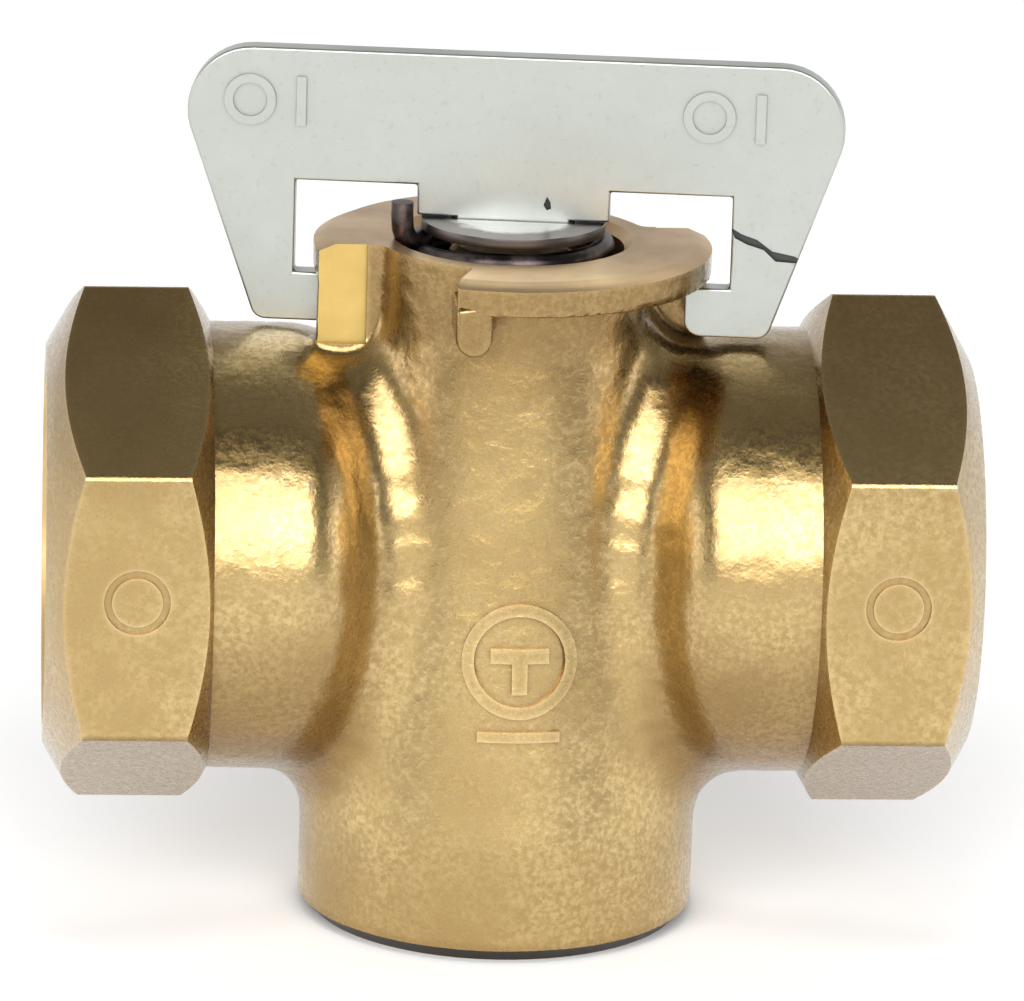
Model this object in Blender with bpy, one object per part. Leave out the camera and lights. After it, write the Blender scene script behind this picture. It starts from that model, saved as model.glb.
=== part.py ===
"""Three way valve: a forged brass taper-plug cock with two hexagon line ports, a
third port in its round bottom boss, and a sheet-steel handle held by a spring.

Units are metres, +Z is up.  The origin is the centre of the bottom face, the line
ports lie along X, and the plug turns about the Z axis.
"""

import math

import bmesh
import bpy
from mathutils import Matrix, Vector

MM = 0.001

# ---- driving dimensions, in millimetres ------------------------------------------
PORT_HEIGHT = 21.9           # line axis above the bottom face
HALF_LENGTH = 27.0           # centre of the valve to a line port's end face
HEX_FLATS = 27.0             # hexagon across flats
HEX_WIDTH = 9.8              # length of each hexagon along the line
HEX_END_RADIUS = 11.7        # circle left on the outer face by its chamfer
HEX_BACK_RADIUS = 12.7       # circle left on the inner face
CHAMFER_SLOPE = 0.57         # chamfer depth along the line per millimetre of radius
NECK_RADIUS = 13.1           # round neck behind each hexagon
NECK_ROOT = 8.2              # where the neck's round end dives into the barrel
NECK_END_DEPTH = 4.4         # length of that round end
NECK_END_DROP = 6.2          # and how far its radius falls
BOSS_RADIUS = 11.7
BOSS_TOP = 7.0               # where the boss starts to ease into the barrel
BARREL_FOOT_RADIUS, BARREL_FOOT = 11.1, 11.8
BARREL_HEAD = 35.8           # the barrel tapers up to the upper neck here
UPPER_NECK_RADIUS = 8.1
BODY_TOP = 40.7
FACING = 0.6                 # stock above the top face before it is faced flat

COLLAR_RADIUS = 11.6
COLLAR_BOTTOM = 38.7
COLLAR_FROM, COLLAR_TO = -109.8, 12.0    # degrees round the collar's first wing
LUG_OUTER_RADIUS = 11.4
LINE_LUG_FAR, LINE_LUG_NEAR = -2.4, -1.0     # y faces of the stop lug over the line
FRONT_LUG_FAR, FRONT_LUG_NEAR = -3.9, -1.8   # x faces of the stop lug at the front
LINE_LUG_BOTTOM = 34.0
FRONT_LUG_BOTTOM = 36.3

LINE_THREAD_MINOR = 9.315    # G 1/2 female, radius of the thread crests
LINE_THREAD_MAJOR = 10.4775
LINE_SOCKET_DEPTH = 12.5
BOTTOM_THREAD_MINOR = 7.475  # G 3/8 female
BOTTOM_THREAD_MAJOR = 8.331
BOTTOM_SOCKET_DEPTH = 8.0
FLOW_RADIUS = 3.6

SPRING_POCKET_RADIUS = 6.5
SEAT_TOP, SEAT_BOTTOM = 30.5, 14.3
SEAT_TOP_RADIUS, SEAT_BOTTOM_RADIUS = 6.3, 5.0
PLUG_CLEARANCE = 0.1

STEM_RADIUS = 3.8
STEM_TOP = 40.4
STEM_SLOT_WIDTH = 2.1
STEM_SLOT_BOTTOM = 34.6
SEAT_WASHER_BOTTOM, SEAT_WASHER_TOP = 30.8, 31.6
SEAT_WASHER_RADIUS = 6.2

WIRE_DIAMETER = 1.3
SPRING_MEAN_RADIUS = 5.3
SPRING_BOTTOM, SPRING_TOP = 32.35, 40.35     # wire centre at the two ends
SPRING_TURNS = 3.75
SPRING_TAIL = ((5.9, 0.9, 40.4), (6.4, 1.3, 41.2), (6.45, 1.4, 42.9))  # out, round, up

CAP_RADIUS = 5.35
CAP_BOTTOM, CAP_TOP = 41.2, 41.8

HANDLE_ANGLE = -7.0          # degrees from the line in the rest position
PLATE_THICKNESS = 1.5
PLATE_TOP = 51.5
SHOULDER_HEIGHT = 41.9       # tongue shoulders, resting on the cap washer
WINDOW_TOP = 43.7
WINDOW_INNER, WINDOW_OUTER = 5.6, 12.7
KEY_HALF_WIDTH = 3.3
KEY_BOTTOM = 35.3
TOE_TOP, TOE_BOTTOM = 38.2, 35.45
TOE_INNER = 10.1
FOOT_OUTER = 15.3
PLATE_HALF_WIDTH = 19.05
PLATE_WIDEST_HEIGHT = 47.6
PLATE_CORNER_RADIUS = 3.8

SIDES = 48                   # faces round a turned piece
CHAMFER_SIDES = 46           # round chamfers, kept out of step with the neck's faces


# ---- scene helpers ----------------------------------------------------------------
def clear_scene():
    """Remove every object that is already in the file."""
    for old in list(bpy.data.objects):
        bpy.data.objects.remove(old, do_unlink=True)


def finish_material(name, colour, roughness, metallic):
    """A plain Principled material for one piece."""
    finish = bpy.data.materials.new(name)
    finish.use_nodes = True
    shader = finish.node_tree.nodes["Principled BSDF"]
    shader.inputs["Base Color"].default_value = (*colour, 1.0)
    shader.inputs["Roughness"].default_value = roughness
    shader.inputs["Metallic"].default_value = metallic
    finish.diffuse_color = (*colour, 1.0)
    return finish


def object_from(mesh_builder, name):
    """Turn a bmesh, drawn in millimetres, into a smooth-shaded object in metres."""
    bmesh.ops.remove_doubles(mesh_builder, verts=mesh_builder.verts, dist=1e-4)
    bmesh.ops.dissolve_degenerate(mesh_builder, edges=mesh_builder.edges, dist=1e-4)
    bmesh.ops.recalc_face_normals(mesh_builder, faces=mesh_builder.faces)
    bmesh.ops.scale(mesh_builder, vec=(MM, MM, MM), verts=mesh_builder.verts)
    mesh = bpy.data.meshes.new(name)
    mesh_builder.to_mesh(mesh)
    mesh_builder.free()
    mesh.shade_smooth()
    mesh.set_sharp_from_angle(angle=math.radians(30))
    piece = bpy.data.objects.new(name, mesh)
    bpy.context.scene.collection.objects.link(piece)
    return piece


def boolean(piece, tool, operation):
    """Join, cut or intersect a piece with a hidden tool solid."""
    step = piece.modifiers.new(tool.name, "BOOLEAN")
    step.operation = operation
    step.solver = "EXACT"
    step.object = tool
    tool.hide_render = True
    tool.display_type = "WIRE"


# ---- solids -----------------------------------------------------------------------
def turned(name, outline, sides=SIDES, along_line=False):
    """Spin a closed (radius, height) outline round Z, or round the line axis X.

    An edge that lies on the axis itself is left out, because it sweeps no face.
    """
    shape = bmesh.new()
    corners = [shape.verts.new((radius, 0.0, height)) for radius, height in outline]
    loop = [shape.edges.new((corner, following))
            for corner, following in zip(corners, corners[1:] + corners[:1])
            if corner.co.x > 0.0 or following.co.x > 0.0]
    bmesh.ops.spin(shape, geom=corners + loop, cent=(0, 0, 0), axis=(0, 0, 1),
                   angle=math.tau, steps=sides, use_merge=True)
    if along_line:
        to_line = Matrix.Rotation(math.radians(90), 4, "Y")
        lift = Matrix.Translation((0, 0, PORT_HEIGHT))
        bmesh.ops.transform(shape, matrix=lift @ to_line, verts=shape.verts)
    return object_from(shape, name)


def prism(name, outline, low, high, axis="Z"):
    """Extrude a closed outline from low to high along Z, Y or X.

    The outline's two coordinates are (x, y) for Z, (x, z) for Y and (y, z) for X.
    """
    place = {"Z": lambda a, b: (a, b, low),
             "Y": lambda a, b: (a, low, b),
             "X": lambda a, b: (low, a, b)}[axis]
    shift = {"Z": (0, 0, high - low), "Y": (0, high - low, 0), "X": (high - low, 0, 0)}
    shape = bmesh.new()
    face = shape.faces.new([shape.verts.new(place(*point)) for point in outline])
    swept = bmesh.ops.extrude_face_region(shape, geom=[face])
    moved = [item for item in swept["geom"] if isinstance(item, bmesh.types.BMVert)]
    bmesh.ops.translate(shape, vec=shift[axis], verts=moved)
    return object_from(shape, name)


def box(name, low, high):
    """A square block between two corners."""
    outline = [(low[0], low[1]), (high[0], low[1]), (high[0], high[1]), (low[0], high[1])]
    return prism(name, outline, low[2], high[2])


def arc(centre, radius, start, end, steps):
    """Points along an arc, angles in degrees."""
    points = []
    for step in range(steps + 1):
        angle = math.radians(start + (end - start) * step / steps)
        points.append((centre[0] + radius * math.cos(angle),
                       centre[1] + radius * math.sin(angle)))
    return points


# ---- the body ---------------------------------------------------------------------
def barrel_solid():
    """The upright barrel, from the bottom boss to the rim, without its collar."""
    outline = [(0.0, 0.0), (BOSS_RADIUS - 0.7, 0.0), (BOSS_RADIUS, 0.7),
               (BOSS_RADIUS, BOSS_TOP), (BARREL_FOOT_RADIUS, BARREL_FOOT),
               (UPPER_NECK_RADIUS, BARREL_HEAD), (UPPER_NECK_RADIUS, COLLAR_BOTTOM - 0.5),
               (UPPER_NECK_RADIUS + 0.5, COLLAR_BOTTOM),
               (UPPER_NECK_RADIUS + 0.5, BODY_TOP + FACING), (0.0, BODY_TOP + FACING)]
    return turned("valve_body", outline)


def neck_solid(side):
    """One round neck of the line, with its rounded inner end inside the barrel."""
    start = HALF_LENGTH - HEX_WIDTH + 0.3
    root = NECK_ROOT + NECK_END_DEPTH
    outline = [(0.0, start), (NECK_RADIUS, start), (NECK_RADIUS, root)]
    for step in range(1, 5):
        angle = math.radians(90 * step / 4)
        outline.append((NECK_RADIUS - NECK_END_DROP * (1 - math.cos(angle)),
                        root - NECK_END_DEPTH * math.sin(angle)))
    outline += [(NECK_RADIUS - NECK_END_DROP, 5.0), (0.0, 5.0)]
    outline = [(radius, side * reach) for radius, reach in outline]
    return turned(f"tool_neck_{side}", outline, along_line=True)


def hexagon_solid(side):
    """One hexagon, trimmed by a round chamfer at both faces."""
    inner, outer = HALF_LENGTH - HEX_WIDTH, HALF_LENGTH
    corner = HEX_FLATS / math.sqrt(3)
    outline = [(corner * math.sin(math.radians(60 * step)),
                PORT_HEIGHT + corner * math.cos(math.radians(60 * step)))
               for step in range(6)]
    ends = sorted((side * (inner - 1.0), side * (outer + 1.0)))
    block = prism(f"tool_hexagon_{side}", outline, *ends, axis="X")
    reach = corner + 1.0
    chamfer = [(0.0, inner), (HEX_BACK_RADIUS, inner),
               (reach, inner + (reach - HEX_BACK_RADIUS) * CHAMFER_SLOPE),
               (reach, outer - (reach - HEX_END_RADIUS) * CHAMFER_SLOPE),
               (HEX_END_RADIUS, outer), (0.0, outer)]
    trim = turned(f"tool_chamfer_{side}",
                  [(radius, side * length) for radius, length in chamfer],
                  sides=CHAMFER_SIDES, along_line=True)
    boolean(block, trim, "INTERSECT")
    return block


def half_turn(points, turn):
    """Rotate (x, y) points by a number of half turns about the origin."""
    sign = -1 if turn else 1
    return [(sign * x, sign * y) for x, y in points]


def collar_wing(turn):
    """One of the two opposite wings of the collar that the handle hooks under."""
    outline = arc((0, 0), COLLAR_RADIUS, COLLAR_FROM, COLLAR_TO, 16)
    outline += arc((0, 0), SPRING_POCKET_RADIUS + 0.2, COLLAR_TO, COLLAR_FROM, 16)
    return prism(f"tool_collar_{turn}", half_turn(outline, turn),
                 COLLAR_BOTTOM, BODY_TOP + FACING / 2)


def stop_lugs(turn):
    """The two ribs below a wing's ends, which stop the handle's hooks."""
    inner = UPPER_NECK_RADIUS - 0.8
    line = [(inner, -LINE_LUG_FAR), (inner, -LINE_LUG_NEAR),
            (LUG_OUTER_RADIUS, -LINE_LUG_NEAR), (LUG_OUTER_RADIUS, -LINE_LUG_FAR)]
    front = [(FRONT_LUG_FAR, -inner), (FRONT_LUG_NEAR, -inner),
             (FRONT_LUG_NEAR, -LUG_OUTER_RADIUS + 0.25),
             (FRONT_LUG_FAR, -LUG_OUTER_RADIUS + 0.75)]
    overlap = COLLAR_BOTTOM + 0.4
    return [prism(f"tool_line_lug_{turn}", half_turn(line, turn), LINE_LUG_BOTTOM, overlap),
            prism(f"tool_front_lug_{turn}", half_turn(front, turn), FRONT_LUG_BOTTOM, overlap)]


def line_bore(side):
    """A socket at its thread's crest diameter, with the flow bore behind it."""
    floor = HALF_LENGTH - LINE_SOCKET_DEPTH
    cone = (LINE_THREAD_MINOR - FLOW_RADIUS) * 0.6
    mouth = LINE_THREAD_MAJOR - LINE_THREAD_MINOR
    outline = [(0.0, 4.0), (FLOW_RADIUS, 4.0), (FLOW_RADIUS, floor - cone),
               (LINE_THREAD_MINOR, floor), (LINE_THREAD_MINOR, HALF_LENGTH - mouth),
               (LINE_THREAD_MAJOR, HALF_LENGTH), (LINE_THREAD_MAJOR, HALF_LENGTH + 1.0),
               (0.0, HALF_LENGTH + 1.0)]
    return turned(f"cutter_line_{side}", [(r, side * x) for r, x in outline],
                  along_line=True)


def upright_bore():
    """Bottom socket, taper seat, spring pocket and the facing cut over the collar."""
    cone = (BOTTOM_THREAD_MINOR - FLOW_RADIUS) * 0.6
    mouth = BOTTOM_THREAD_MAJOR - BOTTOM_THREAD_MINOR
    outline = [(0.0, -1.0), (BOTTOM_THREAD_MAJOR, -1.0), (BOTTOM_THREAD_MAJOR, 0.0),
               (BOTTOM_THREAD_MINOR, mouth), (BOTTOM_THREAD_MINOR, BOTTOM_SOCKET_DEPTH),
               (FLOW_RADIUS, BOTTOM_SOCKET_DEPTH + cone), (FLOW_RADIUS, SEAT_BOTTOM - 0.6),
               (SEAT_BOTTOM_RADIUS, SEAT_BOTTOM - 0.6), (SEAT_BOTTOM_RADIUS, SEAT_BOTTOM),
               (SEAT_TOP_RADIUS, SEAT_TOP), (SPRING_POCKET_RADIUS, SEAT_TOP),
               (SPRING_POCKET_RADIUS, BODY_TOP - 0.5),
               (SPRING_POCKET_RADIUS + 0.5, BODY_TOP), (COLLAR_RADIUS + 2.0, BODY_TOP),
               (COLLAR_RADIUS + 2.0, BODY_TOP + 1.0), (0.0, BODY_TOP + 1.0)]
    return turned("cutter_upright", outline)


def valve_body(finish):
    """The one-piece forging with everything that is machined into it."""
    body = barrel_solid()
    body.data.materials.append(finish)
    for side in (-1, 1):
        boolean(body, neck_solid(side), "UNION")
        boolean(body, hexagon_solid(side), "UNION")
    for turn in (0, 1):
        boolean(body, collar_wing(turn), "UNION")
        for lug in stop_lugs(turn):
            boolean(body, lug, "UNION")
    for side in (-1, 1):
        boolean(body, line_bore(side), "DIFFERENCE")
    boolean(body, upright_bore(), "DIFFERENCE")
    return body


# ---- the plug and what rides on it -------------------------------------------------
def taper_plug(finish):
    """Taper plug with a slotted stem; its passage opens to one line port and down."""
    slope = (SEAT_TOP_RADIUS - SEAT_BOTTOM_RADIUS) / (SEAT_TOP - SEAT_BOTTOM)
    foot, head = SEAT_BOTTOM + 0.1, SEAT_TOP
    foot_radius = SEAT_BOTTOM_RADIUS + slope * 0.1 - PLUG_CLEARANCE
    head_radius = SEAT_TOP_RADIUS - PLUG_CLEARANCE
    outline = [(0.0, foot), (foot_radius, foot), (head_radius, head), (STEM_RADIUS, head),
               (STEM_RADIUS, STEM_TOP - 0.3), (STEM_RADIUS - 0.3, STEM_TOP),
               (0.0, STEM_TOP)]
    plug = turned("taper_plug", outline)
    plug.data.materials.append(finish)
    down = turned("cutter_plug_down",
                  [(0.0, foot - 1.0), (FLOW_RADIUS - 0.2, foot - 1.0),
                   (FLOW_RADIUS - 0.2, PORT_HEIGHT), (0.0, PORT_HEIGHT + 1.5)], sides=32)
    boolean(plug, down, "DIFFERENCE")
    for name, angle in (("cutter_plug_left", 180.0), ("cutter_plug_back", 90.0)):
        across = turned(name, [(0.0, 0.0), (FLOW_RADIUS - 0.2, 0.0),
                               (FLOW_RADIUS - 0.2, 9.0), (0.0, 9.0)],
                        sides=32, along_line=True)
        spin = Matrix.Rotation(math.radians(angle + HANDLE_ANGLE), 4, "Z")
        across.data.transform(spin)
        boolean(plug, across, "DIFFERENCE")
    half = STEM_SLOT_WIDTH / 2
    slot = box("cutter_stem_slot", (-5.0, -half, STEM_SLOT_BOTTOM), (5.0, half, STEM_TOP + 1.0))
    slot.rotation_euler.z = math.radians(HANDLE_ANGLE)
    boolean(plug, slot, "DIFFERENCE")
    return plug


def seat_washer(finish):
    """Flat ring between the plug's shoulder and the spring."""
    outline = [(STEM_RADIUS + 0.15, SEAT_WASHER_BOTTOM), (SEAT_WASHER_RADIUS, SEAT_WASHER_BOTTOM),
               (SEAT_WASHER_RADIUS, SEAT_WASHER_TOP), (STEM_RADIUS + 0.15, SEAT_WASHER_TOP)]
    ring = turned("seat_washer", outline)
    ring.data.materials.append(finish)
    return ring


def spring_path():
    """Centre line of the spring: a coil with closed ends and one upturned tail."""
    points = []
    steps_per_turn = 16
    steps = round(SPRING_TURNS * steps_per_turn)
    end_angle = 183.0 + HANDLE_ANGLE
    for step in range(steps + 1):
        part = step / steps
        rise = min(max((part * SPRING_TURNS - 0.8) / (SPRING_TURNS - 1.6), 0.0), 1.0)
        rise = rise + 0.04 * (part - rise)
        angle = math.radians(end_angle - 360.0 * SPRING_TURNS * (1 - part))
        height = SPRING_BOTTOM + (SPRING_TOP - SPRING_BOTTOM) * rise
        points.append((SPRING_MEAN_RADIUS * math.cos(angle),
                       SPRING_MEAN_RADIUS * math.sin(angle), height))
    outward = Vector((math.cos(math.radians(end_angle)), math.sin(math.radians(end_angle)), 0))
    along = Vector((-outward.y, outward.x, 0))
    for out, forward, height in SPRING_TAIL:
        spot = outward * out + along * forward
        points.append((spot.x, spot.y, height))
    return points


def plug_spring(finish):
    """Round wire swept along the spring's centre line."""
    path = bpy.data.curves.new("plug_spring", "CURVE")
    path.dimensions = "3D"
    path.bevel_depth = WIRE_DIAMETER / 2 * MM
    path.bevel_resolution = 2
    path.use_fill_caps = True
    spline = path.splines.new("POLY")
    points = spring_path()
    spline.points.add(len(points) - 1)
    for knot, point in zip(spline.points, points):
        knot.co = (*(Vector(point) * MM), 1.0)
    spring = bpy.data.objects.new("plug_spring", path)
    bpy.context.scene.collection.objects.link(spring)
    path.materials.append(finish)
    return spring


# ---- the handle -------------------------------------------------------------------
def plate_half_outline():
    """Right half of the handle plate, from the top middle round to the key."""
    slope = math.degrees(math.atan2(PLATE_WIDEST_HEIGHT - TOE_BOTTOM,
                                    PLATE_HALF_WIDTH - FOOT_OUTER))
    corner = (PLATE_HALF_WIDTH - PLATE_CORNER_RADIUS, PLATE_TOP - PLATE_CORNER_RADIUS)
    outline = arc(corner, PLATE_CORNER_RADIUS, 90, slope - 90, 6)
    outline += arc((FOOT_OUTER - 1.0, TOE_BOTTOM + 0.9), 0.9, slope - 90, -90, 3)
    outline += arc((TOE_INNER + 1.0, TOE_BOTTOM + 1.0), 1.0, 270, 180, 3)
    outline += [(TOE_INNER, TOE_TOP - 0.3), (TOE_INNER + 0.3, TOE_TOP),
                (WINDOW_OUTER, TOE_TOP), (WINDOW_OUTER, WINDOW_TOP),
                (WINDOW_INNER, WINDOW_TOP), (WINDOW_INNER, SHOULDER_HEIGHT),
                (KEY_HALF_WIDTH, SHOULDER_HEIGHT), (KEY_HALF_WIDTH, KEY_BOTTOM)]
    return outline


def handle_plate(finish):
    """Sheet-steel handle with a tongue, a key below it and two hook feet."""
    right = plate_half_outline()
    outline = right + [(-across, height) for across, height in reversed(right)]
    half = PLATE_THICKNESS / 2
    plate = prism("handle_plate", outline, -half, half, axis="Y")
    plate.data.materials.append(finish)
    plate.rotation_euler.z = math.radians(HANDLE_ANGLE)
    return plate


def cap_washer(finish):
    """Slotted washer between the spring and the handle's tongue."""
    disc = turned("cap_washer", [(0.0, CAP_BOTTOM), (CAP_RADIUS, CAP_BOTTOM),
                                 (CAP_RADIUS, CAP_TOP), (0.0, CAP_TOP)])
    disc.data.materials.append(finish)
    across, half = KEY_HALF_WIDTH + 0.3, PLATE_THICKNESS / 2 + 0.2
    slot = box("cutter_cap_slot", (-across, -half, CAP_BOTTOM - 1), (across, half, CAP_TOP + 1))
    slot.rotation_euler.z = math.radians(HANDLE_ANGLE)
    boolean(disc, slot, "DIFFERENCE")
    return disc


def main():
    """Build every piece in place."""
    clear_scene()
    valve_body(finish_material("forged brass", (0.60, 0.42, 0.16), 0.38, 1.0))
    taper_plug(finish_material("turned brass", (0.72, 0.52, 0.22), 0.25, 1.0))
    seat_washer(finish_material("plated washer", (0.62, 0.63, 0.62), 0.35, 1.0))
    plug_spring(finish_material("spring steel", (0.10, 0.09, 0.09), 0.40, 1.0))
    cap_washer(finish_material("plated cap", (0.66, 0.67, 0.66), 0.32, 1.0))
    handle_plate(finish_material("plated sheet", (0.58, 0.61, 0.58), 0.45, 1.0))


main()
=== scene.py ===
"""Finished surfaces for a forged brass three way valve with a sheet-steel handle.

Everything is in metres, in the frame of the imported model: the line ports lie along
X, the plug turns about Z, and the bottom face is at z = 0.
"""

import math

import bpy
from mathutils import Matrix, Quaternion, Vector


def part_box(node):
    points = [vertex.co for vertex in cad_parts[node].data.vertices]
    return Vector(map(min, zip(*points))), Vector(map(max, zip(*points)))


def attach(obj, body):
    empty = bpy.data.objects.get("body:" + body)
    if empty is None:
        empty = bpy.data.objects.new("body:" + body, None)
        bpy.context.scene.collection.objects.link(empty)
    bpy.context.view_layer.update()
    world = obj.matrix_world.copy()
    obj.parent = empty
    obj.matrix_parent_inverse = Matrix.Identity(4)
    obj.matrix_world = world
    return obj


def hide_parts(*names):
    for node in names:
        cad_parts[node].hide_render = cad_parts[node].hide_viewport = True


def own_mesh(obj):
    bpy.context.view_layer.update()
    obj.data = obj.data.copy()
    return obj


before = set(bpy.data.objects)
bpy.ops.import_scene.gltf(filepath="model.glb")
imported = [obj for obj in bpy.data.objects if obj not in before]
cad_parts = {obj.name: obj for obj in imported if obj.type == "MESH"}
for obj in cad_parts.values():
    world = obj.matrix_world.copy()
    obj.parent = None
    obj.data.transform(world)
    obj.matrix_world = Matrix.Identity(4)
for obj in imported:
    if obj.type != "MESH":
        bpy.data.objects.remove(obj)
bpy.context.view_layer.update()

MM = 0.001

# ---- sizes read from the frame ---------------------------------------------------
BODY_LOW, BODY_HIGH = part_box("valve_body")
PLATE_LOW, PLATE_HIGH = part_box("handle_plate")
CAP_LOW, CAP_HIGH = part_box("cap_washer")
HALF_LENGTH = BODY_HIGH.x / MM
HEX_FLATS = (BODY_HIGH.y - BODY_LOW.y) / MM
BODY_TOP = BODY_HIGH.z / MM
PLATE_TOP = PLATE_HIGH.z / MM
TOE_BOTTOM = PLATE_LOW.z / MM

# ---- dimensions, in millimetres ----------------------------------------------------
PORT_HEIGHT = 21.9               # line axis above the bottom face
HEX_WIDTH = 9.8
HEX_END_RADIUS, HEX_BACK_RADIUS = 11.7, 12.7
CHAMFER_SLOPE = 0.57
HEX_CORNER_RADIUS = 0.5
NECK_RADIUS = 13.1
NECK_ROOT, NECK_END_DEPTH, NECK_END_DROP = 8.2, 4.4, 6.2
BOSS_RADIUS, BOSS_TOP = 11.7, 7.0
BARREL_FOOT_RADIUS, BARREL_FOOT = 11.1, 11.8
BARREL_HEAD = 35.8
CORE_BELOW, CORE_ABOVE = 3.0, 3.3            # spare length that facing takes off
NECK_CORE_FROM, NECK_CORE_TO = 4.0, 24.0     # the necks' cores end inside barrel and hexagon
UPPER_NECK_RADIUS = 8.1
COLLAR_RADIUS, COLLAR_BOTTOM = 11.6, 38.7
COLLAR_FROM, COLLAR_TO = -109.8, 12.0        # degrees round the first wing
COLLAR_CROWN = 10.7                          # the top face is flat out to here
LINE_LUG_FACE, LINE_LUG_BACK, LINE_LUG_BOTTOM = 2.4, 1.0, 34.0
FRONT_LUG_LEFT, FRONT_LUG_RIGHT, FRONT_LUG_BOTTOM = -3.9, -1.8, 36.3
LUG_OUTER = 11.4
POCKET_RADIUS = 6.5
SEAT_BOTTOM, SEAT_TOP = 14.3, 30.5
FLOW_RADIUS = 3.6
HOLLOW_RADIUS = 2.1                          # forging fillet between barrel and necks
COARSE_SKIN, MIDDLE_SKIN, FINE_SKIN = 0.35, 0.30, 0.24   # face sizes of the forging
SKIN_RELIEF, SKIN_LUMP = 0.08, 1.6           # height and width of the skin's unevenness
SHAVING = 0.25                               # a thread's sweep starts this far inside its bore
LINE_THREAD = {"minor": 9.315, "major": 10.4775, "pitch": 1.814, "depth": 12.5}
BOTTOM_THREAD = {"minor": 7.475, "major": 8.331, "pitch": 1.337, "depth": 8.0}

PLATE_HALF_THICKNESS = 0.75
PLATE_HALF_WIDTH, PLATE_WIDEST_HEIGHT, PLATE_CORNER_RADIUS = 19.05, 47.6, 3.8
FOOT_OUTER, TOE_INNER, TOE_TOP = 15.3, 10.1, 38.2
WINDOW_INNER, WINDOW_OUTER, WINDOW_TOP = 5.6, 12.7, 43.7
SHOULDER_HEIGHT, KEY_HALF_WIDTH, KEY_BOTTOM = 41.9, 3.3, 35.3

WIRE_RADIUS, SPRING_RADIUS, SPRING_TURNS = 0.65, 5.3, 3.75
SPRING_LOW, SPRING_HIGH, SPRING_FOOT = 32.35, 40.35, 31.7
SPRING_END = 183.0                           # degrees from the handle to the wire's end
CAP_SLOT_HALF_LENGTH, CAP_SLOT_HALF_WIDTH = 3.6, 0.95

FLOW_MARK_X, FLOW_MARK_Z, FLOW_MARK_RELIEF = 0.35, 18.0, 0.20
FLOW_RING_OUTER, FLOW_RING_INNER = 3.35, 2.65
HEX_RING_OUTER, HEX_RING_INNER, HEX_RING_DEPTH = 1.9, 1.45, 0.13
PLATE_RING_OUTER, PLATE_RING_INNER, PLATE_RING_HEIGHT = 1.5, 1.0, 48.4
PLATE_MARK_RELIEF, SCAR_DEPTH = 0.12, 0.22

HANDLE_ANGLE = math.radians(-7.0)

# ---- colours of the finishes ---------------------------------------------------------
BROWN_SKIN, TAN_SKIN = (0.43, 0.290, 0.115), (0.61, 0.450, 0.205)
GRAIN_PITS = (0.42, 0.290, 0.110)
# brown painted shade for the forging's inner corners
HOLLOW_SHADE = (0.20, 0.105, 0.035)
WORN_EDGE = (0.80, 0.60, 0.30)
PAINTED_SHADE = (0.58, 0.51, 0.43)                 # multiplies the brass where shade is painted
# painted shade round the bottom edge of the machined brass
FOOT_SHADE = (0.05, 0.04, 0.03)
PLATING_SPECK = (0.30, 0.31, 0.29)
# darkens the cap washer beyond a given radius
RIM_DARKENING = (0.11, 0.095, 0.09)
DARK_WIRE, WORN_WIRE = (0.035, 0.028, 0.028), (0.16, 0.13, 0.125)


# ---- camera, light and floor --------------------------------------------------------
def add_camera():
    """A long lens in front, a little above and to the left of the valve."""
    distance = 0.45              # metres from the point it is aimed at
    azimuth, elevation, roll = math.radians(4.3), math.radians(16.0), math.radians(1.7)
    aim = Vector((0.0004, 0.0, 0.0247))
    back = Vector((-math.sin(azimuth) * math.cos(elevation),
                   -math.cos(azimuth) * math.cos(elevation), math.sin(elevation)))
    lens = bpy.data.cameras.new("camera")
    lens.lens = 269.5
    lens.sensor_width = 36.0
    camera = bpy.data.objects.new("camera", lens)
    bpy.context.scene.collection.objects.link(camera)
    camera.location = aim + back * distance
    camera.rotation_mode = "QUATERNION"
    camera.rotation_quaternion = ((-back).to_track_quat("-Z", "Y")
                                  @ Quaternion((0, 0, 1), roll))
    lens.clip_start, lens.clip_end = 0.01, 20.0
    bpy.context.scene.camera = camera


def add_light(name, azimuth, elevation, distance, width, height, power):
    """A soft rectangular light aimed at the valve: degrees, metres and watts."""
    lamp = bpy.data.lights.new(name, "AREA")
    lamp.shape = "RECTANGLE"
    lamp.size, lamp.size_y = width, height
    lamp.energy = power
    light = bpy.data.objects.new(name, lamp)
    bpy.context.scene.collection.objects.link(light)
    turn, rise = math.radians(azimuth), math.radians(elevation)
    back = Vector((math.sin(turn) * math.cos(rise), -math.cos(turn) * math.cos(rise),
                   math.sin(rise)))
    light.location = Vector((0, 0, 0.02)) + back * distance
    light.rotation_mode = "QUATERNION"
    light.rotation_quaternion = (-back).to_track_quat("-Z", "Y")
    light.visible_camera = False
    return light


def set_stops(node, levels):
    """Grey stops of a colour ramp, as (position, level)."""
    stops = node.color_ramp.elements
    for index, (position, level) in enumerate(levels):
        stop = stops[index] if index < 2 else stops.new(position)
        stop.color = (level, level, level, 1)
        stop.position = position


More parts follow.
